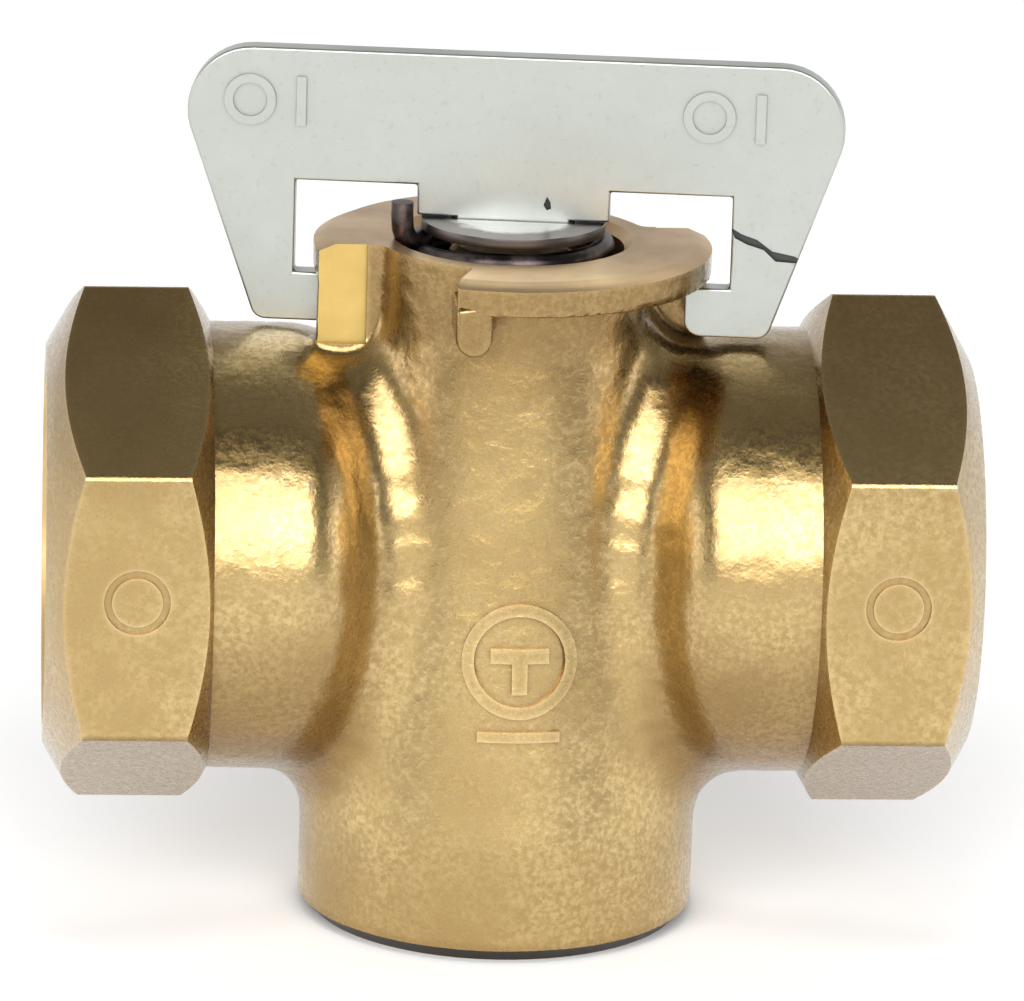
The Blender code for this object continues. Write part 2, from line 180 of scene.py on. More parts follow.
def add_world():
    """A white horizon that darkens towards the ceiling and beside the softbox."""
    world = bpy.data.worlds.new("studio")
    bpy.context.scene.world = world
    world.use_nodes = True
    tree = world.node_tree
    background = tree.nodes["Background"]
    place = tree.nodes.new("ShaderNodeTexCoord")
    split = tree.nodes.new("ShaderNodeSeparateXYZ")
    tree.links.new(place.outputs["Generated"], split.inputs[0])
    rise = tree.nodes.new("ShaderNodeValToRGB")
    tree.links.new(split.outputs["Z"], rise.inputs[0])
    set_stops(rise, ((0.0, 1.0), (1.0, 0.30), (0.30, 1.0), (0.62, 0.55), (0.85, 0.32)))
    front = tree.nodes.new("ShaderNodeMath")
    front.operation = "MULTIPLY"
    front.inputs[1].default_value = -1.0
    tree.links.new(split.outputs["Y"], front.inputs[0])
    facing = tree.nodes.new("ShaderNodeValToRGB")
    tree.links.new(front.outputs[0], facing.inputs[0])
    set_stops(facing, ((0.0, 0.9), (0.97, 0.8), (0.12, 0.8), (0.30, 0.25), (0.75, 0.30)))
    both = tree.nodes.new("ShaderNodeMix")
    both.data_type = "RGBA"
    both.blend_type = "MULTIPLY"
    both.inputs["Factor"].default_value = 1.0
    tree.links.new(rise.outputs[0], both.inputs["A"])
    tree.links.new(facing.outputs[0], both.inputs["B"])
    tree.links.new(both.outputs["Result"], background.inputs["Color"])
    background.inputs["Strength"].default_value = 1.0


def add_floor():
    """A plain pale floor under the valve."""
    bpy.ops.mesh.primitive_plane_add(size=6.0, location=(0, 0, 0))
    floor = bpy.context.object
    floor.name = "floor"
    surface = bpy.data.materials.new("pale floor")
    surface.use_nodes = True
    shader = surface.node_tree.nodes["Principled BSDF"]
    shader.inputs["Base Color"].default_value = (0.93, 0.93, 0.93, 1)
    shader.inputs["Roughness"].default_value = 0.9
    shader.inputs["Specular IOR Level"].default_value = 0.1
    floor.data.materials.append(surface)


def add_flag():
    """A low grey card in front, which keeps the softbox off the upright faces."""
    bpy.ops.mesh.primitive_plane_add(size=1.0, location=(0, -0.45, 0.03),
                                     rotation=(math.radians(90), 0, 0))
    card = bpy.context.object
    card.name = "flag"
    card.scale = (1.3, 0.06, 1.0)
    card.visible_camera = False
    surface = bpy.data.materials.new("grey card")
    surface.use_nodes = True
    shader = surface.node_tree.nodes["Principled BSDF"]
    shader.inputs["Base Color"].default_value = (0.65, 0.65, 0.65, 1)
    shader.inputs["Roughness"].default_value = 0.9
    card.data.materials.append(surface)


add_camera()
add_world()
add_light("front softbox", -7, 31, 1.3, 1.9, 1.0, 25)
for side in (-1, 1):
    add_light("side strip", 84 * side, 7, 0.5, 0.30, 0.16, 0.26)
add_light("back floor light", 180, 42, 2.0, 2.4, 1.2, 22).visible_glossy = False
near = add_light("near floor fill", 0, 90, 0.09, 0.05, 0.03, 0.035)
near.location.y = -0.045
near.visible_glossy = False
add_flag()
add_floor()
bpy.context.scene.view_settings.view_transform = "Standard"


# ---- modelling helpers --------------------------------------------------------------
def select_only(piece):
    """Make one object the only selected and active one."""
    bpy.ops.object.select_all(action="DESELECT")
    piece.select_set(True)
    bpy.context.view_layer.objects.active = piece


def apply_modifier(piece, kind, **settings):
    """Add a modifier, set it and apply it."""
    select_only(piece)
    step = piece.modifiers.new(kind.lower(), kind)
    for key, value in settings.items():
        setattr(step, key, value)
    bpy.ops.object.modifier_apply(modifier=step.name)


def join_solid(piece, tool, operation):
    """Boolean another solid into a piece, keep the tool's finish, and drop the tool."""
    apply_modifier(piece, "BOOLEAN", object=tool, operation=operation, solver="EXACT",
                   material_mode="TRANSFER")
    bpy.data.objects.remove(tool, do_unlink=True)


def close_up(piece):
    """Merge seams, drop slivers and turn every face outwards."""
    select_only(piece)
    bpy.ops.object.mode_set(mode="EDIT")
    bpy.ops.mesh.select_all(action="SELECT")
    bpy.ops.mesh.remove_doubles(threshold=1e-7)
    bpy.ops.mesh.dissolve_degenerate(threshold=1e-7)
    bpy.ops.mesh.normals_make_consistent(inside=False)
    bpy.ops.object.mode_set(mode="OBJECT")


def settle(piece):
    """Move the object's place into its mesh."""
    select_only(piece)
    bpy.ops.object.transform_apply(location=True, rotation=True, scale=True)


def stretch_path(name, points):
    """One edge chain through (x, y, z) points in millimetres, drawn by extruding."""
    bpy.ops.object.select_all(action="DESELECT")
    bpy.ops.mesh.primitive_plane_add(size=MM)
    chain = bpy.context.object
    chain.name = name
    bpy.ops.object.mode_set(mode="EDIT")
    bpy.ops.mesh.select_mode(type="VERT")
    bpy.ops.mesh.select_all(action="SELECT")
    bpy.ops.mesh.merge(type="CENTER")
    here = Vector(points[0]) * MM
    bpy.ops.transform.translate(value=here)
    for point in points[1:]:
        there = Vector(point) * MM
        bpy.ops.mesh.extrude_region_move(TRANSFORM_OT_translate={"value": there - here})
        here = there
    bpy.ops.mesh.select_all(action="SELECT")
    return chain


def turned(name, outline, steps=96, along_line=False, finish=None):
    """Spin a (radius, height) outline round Z, or round the line axis X."""
    piece = stretch_path(name, [(radius, 0.0, height) for radius, height in outline])
    bpy.ops.mesh.spin(steps=steps, angle=math.tau, center=(0, 0, 0), axis=(0, 0, 1))
    bpy.ops.object.mode_set(mode="OBJECT")
    close_up(piece)
    if along_line:
        piece.rotation_euler = (0.0, math.radians(90), 0.0)
        piece.location = (0.0, 0.0, PORT_HEIGHT * MM)
        settle(piece)
    if finish:
        piece.data.materials.append(finish)
    return piece


def prism(name, outline, depth, finish=None):
    """Fill a closed (x, y, z) outline and extrude it by a vector, in millimetres."""
    piece = stretch_path(name, list(outline) + [outline[0]])
    bpy.ops.mesh.remove_doubles(threshold=1e-7)
    bpy.ops.mesh.select_all(action="SELECT")
    bpy.ops.mesh.edge_face_add()
    bpy.ops.mesh.extrude_region_move(TRANSFORM_OT_translate={"value": Vector(depth) * MM})
    bpy.ops.mesh.select_all(action="SELECT")
    bpy.ops.mesh.normals_make_consistent(inside=False)
    bpy.ops.object.mode_set(mode="OBJECT")
    if finish:
        piece.data.materials.append(finish)
    return piece


def arc(centre, radius, start, end, steps):
    """Points along an arc, angles in degrees."""
    points = []
    for step in range(steps + 1):
        angle = math.radians(start + (end - start) * step / steps)
        points.append((centre[0] + radius * math.cos(angle),
                       centre[1] + radius * math.sin(angle)))
    return points


def soften(piece, width, segments=2, angle=35):
    """Round a piece's sharp edges."""
    apply_modifier(piece, "BEVEL", width=width * MM, segments=segments,
                   limit_method="ANGLE", angle_limit=math.radians(angle))


def smooth_shade(piece, angle=35):
    """Smooth shading that keeps the corners sharper than the angle."""
    select_only(piece)
    bpy.ops.object.shade_smooth_by_angle(angle=math.radians(angle))


def flat_faces(piece, angle):
    """Smooth shading in which wide flat faces stay flat."""
    smooth_shade(piece, angle)
    apply_modifier(piece, "WEIGHTED_NORMAL", keep_sharp=True, weight=50)


# ---- shader helpers -------------------------------------------------------------------
def new_group(name, inputs, outputs):
    """A shader node group with (name, kind, default) inputs and (name, kind) outputs."""
    group = bpy.data.node_groups.new(name, "ShaderNodeTree")
    for label, kind, value in inputs:
        socket = group.interface.new_socket(label, in_out="INPUT", socket_type=kind)
        socket.default_value = value
    for label, kind in outputs:
        group.interface.new_socket(label, in_out="OUTPUT", socket_type=kind)
    return group, group.nodes.new("NodeGroupInput"), group.nodes.new("NodeGroupOutput")


def noise(tree, vector, scale, detail=3.0, roughness=0.55, distortion=0.0):
    """A noise texture's factor output."""
    node = tree.nodes.new("ShaderNodeTexNoise")
    tree.links.new(vector, node.inputs["Vector"])
    if isinstance(scale, (int, float)):
        node.inputs["Scale"].default_value = scale
    else:
        tree.links.new(scale, node.inputs["Scale"])
    node.inputs["Detail"].default_value = detail
    node.inputs["Roughness"].default_value = roughness
    node.inputs["Distortion"].default_value = distortion
    return node.outputs["Fac"]


def spread(tree, value, low, high, out_low=0.0, out_high=1.0):
    """Map a value from one range to another, clamped."""
    node = tree.nodes.new("ShaderNodeMapRange")
    tree.links.new(value, node.inputs["Value"])
    for label, number in (("From Min", low), ("From Max", high),
                          ("To Min", out_low), ("To Max", out_high)):
        node.inputs[label].default_value = number
    return node.outputs["Result"]


def blend_colour(tree, factor, first, second, kind="MIX"):
    """Mix two colours; each is a socket or an (r, g, b)."""
    node = tree.nodes.new("ShaderNodeMix")
    node.data_type = "RGBA"
    node.blend_type = kind
    for value, socket in ((factor, node.inputs["Factor"]), (first, node.inputs["A"]),
                          (second, node.inputs["B"])):
        if isinstance(value, (int, float)):
            socket.default_value = value
        elif isinstance(value, tuple):
            socket.default_value = (*value, 1.0)
        else:
            tree.links.new(value, socket)
    return node.outputs["Result"]


def combine(tree, operation, first, second):
    """A math node on two values."""
    node = tree.nodes.new("ShaderNodeMath")
    node.operation = operation
    for value, socket in ((first, node.inputs[0]), (second, node.inputs[1])):
        if isinstance(value, (int, float)):
            socket.default_value = value
        else:
            tree.links.new(value, socket)
    return node.outputs[0]


# ---- shared effects -------------------------------------------------------------------
def grain_group():
    """Fine rough grain: a height and a colour mask, from the size of one grain."""
    group, inside, outside = new_group(
        "forged grain",
        [("Vector", "NodeSocketVector", (0, 0, 0)), ("Grain Size", "NodeSocketFloat", 0.0004)],
        [("Height", "NodeSocketFloat"), ("Mask", "NodeSocketFloat")])
    scale = combine(group, "DIVIDE", 1.0, inside.outputs["Grain Size"])
    fine = noise(group, inside.outputs["Vector"], scale, detail=4.0, roughness=0.6)
    coarse = noise(group, inside.outputs["Vector"], combine(group, "MULTIPLY", scale, 0.3),
                   detail=2.0)
    height = combine(group, "ADD", combine(group, "MULTIPLY", fine, 0.7),
                     combine(group, "MULTIPLY", coarse, 0.6))
    group.links.new(height, outside.inputs["Height"])
    group.links.new(spread(group, fine, 0.38, 0.66), outside.inputs["Mask"])
    return group


def wear_and_shade_group():
    """Masks of the edges that handling has brightened and of the inner corners, where shade is
    painted.
    """
    group, inside, outside = new_group(
        "edge wear",
        [("Amount", "NodeSocketFloat", 0.5), ("Hollow Size", "NodeSocketFloat", 0.0012)],
        [("Edges", "NodeSocketFloat"), ("Hollows", "NodeSocketFloat")])
    ridges = group.nodes.new("ShaderNodeAmbientOcclusion")
    ridges.inside, ridges.only_local, ridges.samples = True, True, 5
    ridges.inputs["Distance"].default_value = 0.0004
    valleys = group.nodes.new("ShaderNodeAmbientOcclusion")
    valleys.only_local, valleys.samples = True, 6
    group.links.new(inside.outputs["Hollow Size"], valleys.inputs["Distance"])
    edges = spread(group, ridges.outputs["AO"], 0.92, 0.55)
    hollows = spread(group, valleys.outputs["AO"], 0.92, 0.45)
    group.links.new(combine(group, "MULTIPLY", edges, inside.outputs["Amount"]),
                    outside.inputs["Edges"])
    group.links.new(hollows, outside.inputs["Hollows"])
    return group


GRAIN = grain_group()
WEAR_AND_SHADE = wear_and_shade_group()


def start_material(name):
    """A Principled material, its tree, shader and object coordinates."""
    finish = bpy.data.materials.new(name)
    finish.use_nodes = True
    tree = finish.node_tree
    place = tree.nodes.new("ShaderNodeTexCoord").outputs["Object"]
    return finish, tree, tree.nodes["Principled BSDF"], place


def add_bump(tree, shader, height, strength, distance):
    """Bump from a height, in metres."""
    bump = tree.nodes.new("ShaderNodeBump")
    bump.inputs["Strength"].default_value = strength
    bump.inputs["Distance"].default_value = distance
    tree.links.new(height, bump.inputs["Height"])
    tree.links.new(bump.outputs["Normal"], shader.inputs["Normal"])


def place_group(tree, group, **values):
    """Add a group node; a value is a number or a socket."""
    node = tree.nodes.new("ShaderNodeGroup")
    node.node_tree = group
    for label, value in values.items():
        socket = node.inputs[label.replace("_", " ")]
        if isinstance(value, (int, float)):
            socket.default_value = value
        else:
            tree.links.new(value, socket)
    return node


def painted_shade_mask(tree, place):
    """Mask of painted shade under the collar, on faces turned down and round the bottom edge.
    """
    split = tree.nodes.new("ShaderNodeSeparateXYZ")
    tree.links.new(place, split.inputs[0])
    ragged = combine(tree, "MULTIPLY", noise(tree, place, 260.0, detail=4.0), 0.006)
    height = combine(tree, "ADD", split.outputs["Z"], ragged)
    collar = spread(tree, height, 0.030, 0.040, 0.0, 0.8)
    foot = spread(tree, split.outputs["Z"], 0.0013, 0.0004, 0.0, 1.0)
    facing = tree.nodes.new("ShaderNodeSeparateXYZ")
    tree.links.new(tree.nodes.new("ShaderNodeTexCoord").outputs["Normal"], facing.inputs[0])
    below = spread(tree, facing.outputs["Z"], -0.05, -0.75, 0.0, 1.0)
    return combine(tree, "MAXIMUM", combine(tree, "MAXIMUM", collar, foot), below)


def forged_brass():
    """Tan, grainy forged brass, with brown painted shade in its hollows and more painted shade
    under the collar, on faces turned down and round the bottom edge; brighter on its edges.
    """
    finish, tree, shader, place = start_material("forged brass")
    grain = place_group(tree, GRAIN, Vector=place, Grain_Size=0.00036)
    wear_and_shade = place_group(tree, WEAR_AND_SHADE, Amount=0.55, Hollow_Size=0.0016)
    patches = spread(tree, noise(tree, place, 110.0, detail=4.0), 0.36, 0.60)
    base = blend_colour(tree, patches, BROWN_SKIN, TAN_SKIN)
    base = blend_colour(tree, grain.outputs["Mask"], GRAIN_PITS, base)
    # brown painted shade in the hollows
    base = blend_colour(tree, combine(tree, "MULTIPLY", wear_and_shade.outputs["Hollows"], 0.75),
                        base, HOLLOW_SHADE)
    base = blend_colour(tree, wear_and_shade.outputs["Edges"], base, WORN_EDGE)
    # painted shade under the collar, on faces turned down and round the bottom edge
    base = blend_colour(tree, painted_shade_mask(tree, place), base, PAINTED_SHADE, "MULTIPLY")
    tree.links.new(base, shader.inputs["Base Color"])
    shader.inputs["Coat Weight"].default_value = 0.5
    shader.inputs["Coat Roughness"].default_value = 0.12
    rough = spread(tree, grain.outputs["Mask"], 0.0, 1.0, 0.32, 0.20)
    tree.links.new(rough, shader.inputs["Roughness"])
    shader.inputs["Metallic"].default_value = 1.0
    add_bump(tree, shader, grain.outputs["Height"], 0.50, 0.00008)
    return finish


def from_axis(tree, place):
    """Distance from the upright axis."""
    split = tree.nodes.new("ShaderNodeSeparateXYZ")
    tree.links.new(place, split.inputs[0])
    flat = tree.nodes.new("ShaderNodeCombineXYZ")
    tree.links.new(split.outputs["X"], flat.inputs[0])
    tree.links.new(split.outputs["Y"], flat.inputs[1])
    length = tree.nodes.new("ShaderNodeVectorMath")
    length.operation = "LENGTH"
    tree.links.new(flat.outputs[0], length.inputs[0])
    return length.outputs["Value"]


def machined_brass(name, colour, roughness, ring_scale, bump):
    """Turned or milled brass with fine concentric tool marks, with painted shade in its
    hollows and round the foot's edge.
    """
    finish, tree, shader, place = start_material(name)
    wear_and_shade = place_group(tree, WEAR_AND_SHADE, Amount=0.5)
    split = tree.nodes.new("ShaderNodeSeparateXYZ")
    tree.links.new(place, split.inputs[0])
    rings = noise(tree, from_axis(tree, place), ring_scale, detail=4.0, roughness=0.7)
    cloud = spread(tree, noise(tree, place, 220.0, detail=4.0), 0.35, 0.65)
    darker = tuple(0.80 * part for part in colour)
    base = blend_colour(tree, cloud, darker, colour)
    # painted shade in the hollows
    base = blend_colour(tree, wear_and_shade.outputs["Hollows"], base,
                        tuple(0.45 * part for part in colour))
    # painted shade round the foot's edge, kept off the bottom face
    low = spread(tree, split.outputs["Z"], 0.0015, 0.0009)
    off_the_face = spread(tree, split.outputs["Z"], 0.00001, 0.00003)
    base = blend_colour(tree, combine(tree, "MULTIPLY", low, off_the_face), base,
                        FOOT_SHADE)
    tree.links.new(base, shader.inputs["Base Color"])
    tree.links.new(spread(tree, cloud, 0.0, 1.0, roughness + 0.08, roughness),
                   shader.inputs["Roughness"])
    shader.inputs["Metallic"].default_value = 1.0
    add_bump(tree, shader, rings, bump, 0.00003)
    return finish


def plated_sheet(name, colour, roughness, rim_radius=None):
    """Zinc-plated sheet steel, pale and a little cloudy, with painted shade in its hollows,
    and darker beyond a given radius.
    """
    finish, tree, shader, place = start_material(name)
    wear_and_shade = place_group(tree, WEAR_AND_SHADE, Amount=0.35)
    cloud = spread(tree, noise(tree, place, 160.0, detail=5.0, roughness=0.6), 0.36, 0.66)
    specks = spread(tree, noise(tree, place, 2600.0, detail=2.0), 0.62, 0.72)
    base = blend_colour(tree, cloud, tuple(0.90 * part for part in colour), colour)
    base = blend_colour(tree, combine(tree, "MULTIPLY", specks, 0.25), base, PLATING_SPECK)
    # painted shade in the hollows
    base = blend_colour(tree, wear_and_shade.outputs["Hollows"], base,
                        tuple(0.55 * part for part in colour))
    # darker beyond the given radius
    if rim_radius:
        ragged = combine(tree, "MULTIPLY", noise(tree, place, 700.0, detail=3.0), 0.0016)
        reach = combine(tree, "ADD", from_axis(tree, place), ragged)
        darker_rim = spread(tree, reach, rim_radius, rim_radius + 0.0006)
        base = blend_colour(tree, darker_rim, base, RIM_DARKENING)
    tree.links.new(base, shader.inputs["Base Color"])
    tree.links.new(spread(tree, cloud, 0.0, 1.0, roughness + 0.07, roughness - 0.03),
                   shader.inputs["Roughness"])
    shader.inputs["Metallic"].default_value = 1.0
    fine = noise(tree, place, 3200.0, detail=3.0)
    add_bump(tree, shader, combine(tree, "ADD", fine, cloud), 0.25, 0.00002)
    return finish


def spring_steel():
    """Dark drawn wire with an oily sheen and worn spots."""
    finish, tree, shader, place = start_material("spring steel")
    cloud = spread(tree, noise(tree, place, 700.0, detail=4.0), 0.40, 0.65)
    base = blend_colour(tree, cloud, DARK_WIRE, WORN_WIRE)
    tree.links.new(base, shader.inputs["Base Color"])
    tree.links.new(spread(tree, cloud, 0.0, 1.0, 0.30, 0.48), shader.inputs["Roughness"])
    shader.inputs["Metallic"].default_value = 1.0
    add_bump(tree, shader, noise(tree, place, 2500.0, detail=3.0), 0.3, 0.00003)
    return finish


FORGED = forged_brass()
MACHINED = machined_brass("machined brass", (0.66, 0.45, 0.20), 0.26, 4000.0, 0.4)
FACED = machined_brass("faced brass", (0.60, 0.41, 0.23), 0.34, 3000.0, 0.5)
BRIGHT = machined_brass("milled brass", (0.70, 0.49, 0.16), 0.34, 2500.0, 0.5)
SHEET = plated_sheet("plated sheet", (0.50, 0.52, 0.48), 0.36)
WASHER = plated_sheet("plated washer", (0.60, 0.60, 0.59), 0.30, rim_radius=0.0042)
# near-black finish of the crease and nick grooves: painted shade
GROOVE_SHADE = plated_sheet("groove shade sheet", (0.10, 0.10, 0.095), 0.5)
WIRE = spring_steel()


# ---- valve body -------------------------------------------------------------------------
def barrel_outline(grow=0.0):
    """(radius, height) outline of boss, tapering barrel and upper neck, left long."""
    low, high = -CORE_BELOW, BODY_TOP + CORE_ABOVE
    return [(0.0, low), (BOSS_RADIUS + grow, low), (BOSS_RADIUS + grow, BOSS_TOP),
            (BARREL_FOOT_RADIUS + grow, BARREL_FOOT),
            (UPPER_NECK_RADIUS + 0.15 + grow, BARREL_HEAD - 1.2),
            (UPPER_NECK_RADIUS + grow, BARREL_HEAD),
            (UPPER_NECK_RADIUS + grow, high), (0.0, high)]


def neck_core(side):
    """A round neck with a rounded inner end."""
    root = NECK_ROOT + NECK_END_DEPTH
    outline = [(0.0, NECK_CORE_TO), (NECK_RADIUS, NECK_CORE_TO), (NECK_RADIUS, root)]
    for step in range(1, 7):
        angle = math.radians(15 * step)
        outline.append((NECK_RADIUS - NECK_END_DROP * (1 - math.cos(angle)),
                        root - NECK_END_DEPTH * math.sin(angle)))
    outline += [(NECK_RADIUS - NECK_END_DROP, NECK_CORE_FROM), (0.0, NECK_CORE_FROM)]
    return turned(f"neck_core_{side}", [(r, side * x) for r, x in outline],
                  steps=96, along_line=True)


def remesh(piece, size, smoothing):
    """Even out a solid's faces and round it slightly."""
    apply_modifier(piece, "REMESH", mode="VOXEL", voxel_size=size * MM)
    apply_modifier(piece, "SMOOTH", factor=0.5, iterations=smoothing)


def fill_hollows(piece, radius):
    """Round a solid's inner corners: swell it, close it, and shrink it back."""
    apply_modifier(piece, "DISPLACE", strength=radius * MM, mid_level=0.0)
    remesh(piece, COARSE_SKIN, 8)
    apply_modifier(piece, "DISPLACE", strength=-radius * MM, mid_level=0.0)
    remesh(piece, MIDDLE_SKIN, 8)


def half_turned(points, turn):
    """Points turned by no or one half turn round Z."""
    sign = -1 if turn else 1
    return [(sign * x, sign * y, z) for x, y, z in points]


def collar_wing(turn):
    """One wing of the collar, left high for facing."""
    outline = arc((0, 0), COLLAR_RADIUS, COLLAR_FROM, COLLAR_TO + 1.5, 28)
    outline += arc((0, 0), POCKET_RADIUS + 0.7, COLLAR_TO + 1.5, COLLAR_FROM, 28)
    outline = half_turned([(x, y, COLLAR_BOTTOM) for x, y in outline], turn)
    return prism(f"wing_{turn}", outline, (0, 0, BODY_TOP + 0.8 - COLLAR_BOTTOM))


def line_lug(turn):
    """The tall stop rib over the line, at one end of a wing."""
    inner = UPPER_NECK_RADIUS - 0.8
    outline = [(inner, LINE_LUG_FACE + 0.2), (inner, LINE_LUG_BACK),
               (LUG_OUTER, LINE_LUG_BACK), (LUG_OUTER, LINE_LUG_FACE + 0.2)]
    outline = half_turned([(x, y, LINE_LUG_BOTTOM) for x, y in outline], turn)
    return prism(f"line_lug_{turn}", outline, (0, 0, BODY_TOP + 0.7 - LINE_LUG_BOTTOM))


def front_lug(turn):
    """The short round-ended stop rib at the other end of a wing."""
    radius = (FRONT_LUG_RIGHT - FRONT_LUG_LEFT) / 2
    middle = (FRONT_LUG_RIGHT + FRONT_LUG_LEFT) / 2
    inner = UPPER_NECK_RADIUS - 1.6
    tongue = arc((middle, FRONT_LUG_BOTTOM + radius), radius, 180, 360, 10)
    tongue += [(FRONT_LUG_RIGHT, COLLAR_BOTTOM + 0.5), (FRONT_LUG_LEFT, COLLAR_BOTTOM + 0.5)]
    outline = half_turned([(x, -inner, z) for x, z in tongue], turn)
    reach = (LUG_OUTER - 0.1 - inner) * (1 if turn else -1)
    lug = prism(f"front_lug_{turn}", outline, (0, reach, 0), finish=FORGED)
    soften(lug, 0.3, segments=3)
    return lug


def mill_line_lug(body, turn):
    """Mill a line lug's stop face flat and bright."""
    low, high = LINE_LUG_BOTTOM + 0.8, BODY_TOP + 2
    near, far = UPPER_NECK_RADIUS + 0.45, COLLAR_RADIUS + 1.2
    outline = [(near, LINE_LUG_FACE), (far, LINE_LUG_FACE), (far, LINE_LUG_FACE + 4),
               (near + 1.0, LINE_LUG_FACE + 4), (near, LINE_LUG_FACE + 0.9)]
    outline = half_turned([(x, y, low) for x, y in outline], turn)
    cutter = prism(f"mill_{turn}", outline, (0, 0, high - low), finish=BRIGHT)
    join_solid(body, cutter, "DIFFERENCE")


def roughen(piece, strength, size):
    """Uneven forging skin, as real relief."""
    texture = bpy.data.textures.new("forging skin", "CLOUDS")
    texture.noise_scale = size * MM
    texture.noise_depth = 2
    apply_modifier(piece, "DISPLACE", texture=texture, strength=strength * MM,
                   mid_level=0.5, texture_coords="LOCAL")


def hexagon(side):
    """One hexagon with softened corners and a turned chamfer on both faces."""
    corner = HEX_FLATS / math.sqrt(3)
    inner, outer = HALF_LENGTH - HEX_WIDTH, HALF_LENGTH
    middle = (HEX_FLATS / 2 - HEX_CORNER_RADIUS) / math.cos(math.radians(30))
    outline = []
    for step in range(6):
        turn = 30 + 60 * step
        centre = (middle * math.cos(math.radians(turn)),
                  PORT_HEIGHT + middle * math.sin(math.radians(turn)))
        outline += arc(centre, HEX_CORNER_RADIUS, turn - 30, turn + 30, 4)
    block = prism(f"hexagon_{side}", [(side * (inner - 1), y, z) for y, z in outline],
                  (side * (HEX_WIDTH + 2), 0, 0), finish=FORGED)
    reach = corner + 1.0
    chamfer = [(0.0, inner), (HEX_BACK_RADIUS, inner),
               (reach, inner + (reach - HEX_BACK_RADIUS) * CHAMFER_SLOPE),
               (reach, outer - (reach - HEX_END_RADIUS) * CHAMFER_SLOPE),
               (HEX_END_RADIUS, outer), (0.0, outer)]
    trim = turned("chamfer", [(r, side * x) for r, x in chamfer], steps=122,
                  along_line=True, finish=FORGED)
    join_solid(block, trim, "INTERSECT")
    return block


def threaded_rod(name, thread, low, high, steps=64):
    """Sweep one pitch of a V groove along a helix and close its ends on the axis."""
    pitch = thread["pitch"] * MM
    inside, outside = thread["minor"] - SHAVING, thread["major"] - 0.05
    turns = math.ceil((high - low) / thread["pitch"]) + 1
    rod = stretch_path(name, [(inside, 0.0, low - thread["pitch"]),
                              (outside, 0.0, low - thread["pitch"] * 0.56),
                              (outside, 0.0, low - thread["pitch"] * 0.44),
                              (inside, 0.0, low)])
    bpy.ops.object.mode_set(mode="OBJECT")
    apply_modifier(rod, "SCREW", screw_offset=pitch, iterations=turns, steps=steps,
                   render_steps=steps, use_merge_vertices=True, merge_threshold=1e-6,
                   angle=math.tau)
    close_ends(rod)
    return rod


def select_open_end(rod, upper, middle):
    """Select the open edges above or below a height, and stay in edit mode."""
    select_only(rod)
    bpy.ops.object.mode_set(mode="EDIT")
    bpy.ops.mesh.select_mode(type="EDGE")
    bpy.ops.mesh.select_all(action="DESELECT")
    bpy.ops.mesh.select_non_manifold(extend=False, use_wire=False, use_boundary=True,
                                     use_multi_face=False, use_non_contiguous=False,
                                     use_verts=False)
    bpy.ops.object.mode_set(mode="OBJECT")
    corners = rod.data.vertices
    chosen = []
    for edge in rod.data.edges:
        height = sum(corners[index].co.z for index in edge.vertices) / 2
        if edge.select and (height > middle) == upper:
            chosen.append(edge.index)
    for part in (corners, rod.data.edges, rod.data.polygons):
        part.foreach_set("select", [False] * len(part))
    for number in chosen:
        edge = rod.data.edges[number]
        edge.select = True
        for index in edge.vertices:
            corners[index].select = True
    bpy.ops.object.mode_set(mode="EDIT")
    bpy.ops.mesh.select_mode(type="EDGE")


def close_ends(rod):
    """Close each open end of a rod with a fan that meets on its axis."""
    heights = [corner.co.z for corner in rod.data.vertices]
    middle = (min(heights) + max(heights)) / 2
    for upper in (False, True):
        select_open_end(rod, upper, middle)
        bpy.ops.mesh.extrude_region_move(TRANSFORM_OT_translate={"value": (0, 0, 0)})
        bpy.ops.mesh.merge(type="CENTER")
        bpy.ops.object.mode_set(mode="OBJECT")
    close_up(rod)


def cut_line_port(body, side):
    """Socket, thread, relief groove and flow bore of one line port."""
    thread = LINE_THREAD
    floor = HALF_LENGTH - thread["depth"]
    cone = (thread["minor"] - FLOW_RADIUS) * 0.6
    mouth = thread["major"] - thread["minor"] + 0.25
    relief = thread["major"] + 0.1
    outline = [(0.0, 4.0), (FLOW_RADIUS, 4.0), (FLOW_RADIUS, floor - cone),
               (thread["minor"], floor), (relief, floor + 0.3), (relief, floor + 1.6),
               (thread["minor"], floor + 2.3), (thread["minor"], HALF_LENGTH - mouth),
               (thread["major"] + 0.25, HALF_LENGTH),
               (thread["major"] + 0.25, HALF_LENGTH + 1.0), (0.0, HALF_LENGTH + 1.0)]
    bore = turned("bore", [(r, side * x) for r, x in outline], steps=112,
                  along_line=True, finish=MACHINED)
    join_solid(body, bore, "DIFFERENCE")
    rod = threaded_rod("thread", thread, floor + 1.2, HALF_LENGTH + 0.8)
    rod.data.materials.append(MACHINED)
    rod.rotation_euler = (0.0, math.radians(90 * side), 0.0)
    rod.location = (0.0, 0.0, PORT_HEIGHT * MM)
    settle(rod)
    join_solid(body, rod, "DIFFERENCE")


